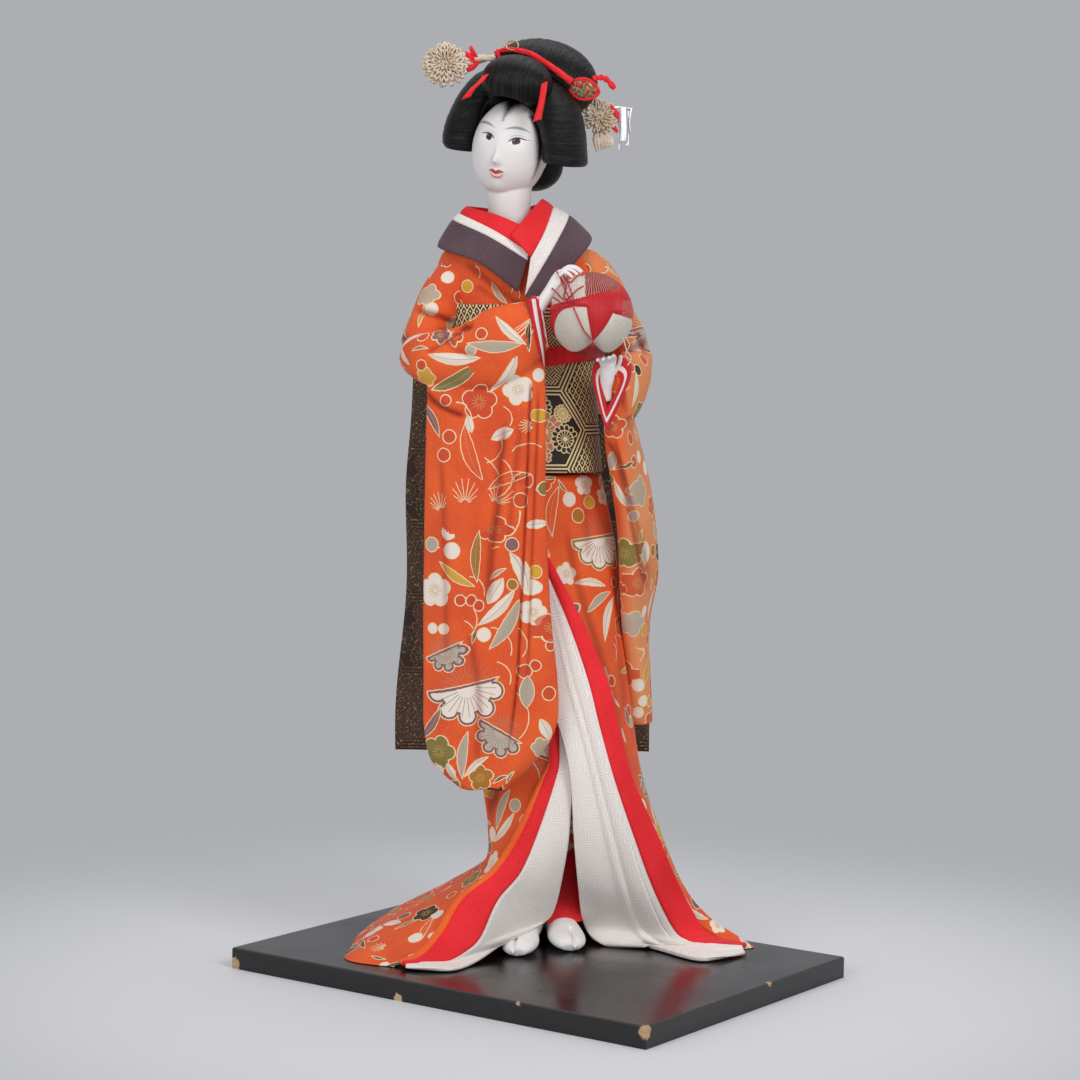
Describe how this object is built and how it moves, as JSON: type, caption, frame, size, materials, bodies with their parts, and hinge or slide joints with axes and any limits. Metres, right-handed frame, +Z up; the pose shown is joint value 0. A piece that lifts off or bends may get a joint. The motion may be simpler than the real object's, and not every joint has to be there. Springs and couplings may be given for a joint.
{
  "type": "costume doll on a plinth",
  "caption": "Standing costume doll in a long-sleeved trailing kimono, holding a thread ball, on a black lacquered board.",
  "frame": {"origin": "centre of the board's underside", "axes": "+Z up, +X along the board's long side; the figure stands turned about 36 degrees from -Y towards +X"},
  "size_m": [0.28, 0.2, 0.5236],
  "materials": {
    "black_lacquer": "black satin lacquer, chipped to pale wood at a few edges",
    "shell_white": "smooth matte shell-white paint",
    "black_hair": "combed silk-like strands with a soft sheen",
    "ball_thread": "wound red and white silk thread",
    "straw_petals": "dry looped beige strips",
    "silver_strip": "thin bright metal strips",
    "red_crepe": "matte pebbled crepe",
    "orange_crepe": "matte crepe with a printed and gold-lined plant pattern",
    "white_damask": "off-white figured damask",
    "plum_silk": "plain dark plum silk",
    "brocade": "black brocade with gold lattice and flower figures",
    "white_sock": "matte white cotton"
  },
  "bodies": {
    "root": {"board": "black_lacquer", "thread_ball": "ball_thread", "hand_right": "shell_white", "hand_left": "shell_white", "cuff_right": "red_crepe", "cuff_left": "red_crepe", "head": "shell_white", "flower_pin_right": "straw_petals", "flower_pin_left": "straw_petals", "silver_strips": "silver_strip", "topknot_ribbon": "red_crepe", "temple_ribbon_right": "red_crepe", "temple_ribbon_left": "red_crepe", "wig": "black_hair", "foot_right": "white_sock", "foot_left": "white_sock", "underskirt": "red_crepe", "under_robe_left": "white_damask", "under_robe_right": "white_damask", "lining_left": "red_crepe", "lining_right": "red_crepe", "collar_purple": "plum_silk", "collar_white": "white_damask", "collar_red": "red_crepe", "sleeve_right": "orange_crepe", "sleeve_left": "orange_crepe", "obi_cord": "red_crepe", "obi": "brocade", "obi_knot": "brocade", "obi_tail_right": "brocade", "obi_tail_left": "brocade", "kimono_bodice": "orange_crepe", "kimono_skirt": "orange_crepe"}
  },
  "joints": []
}
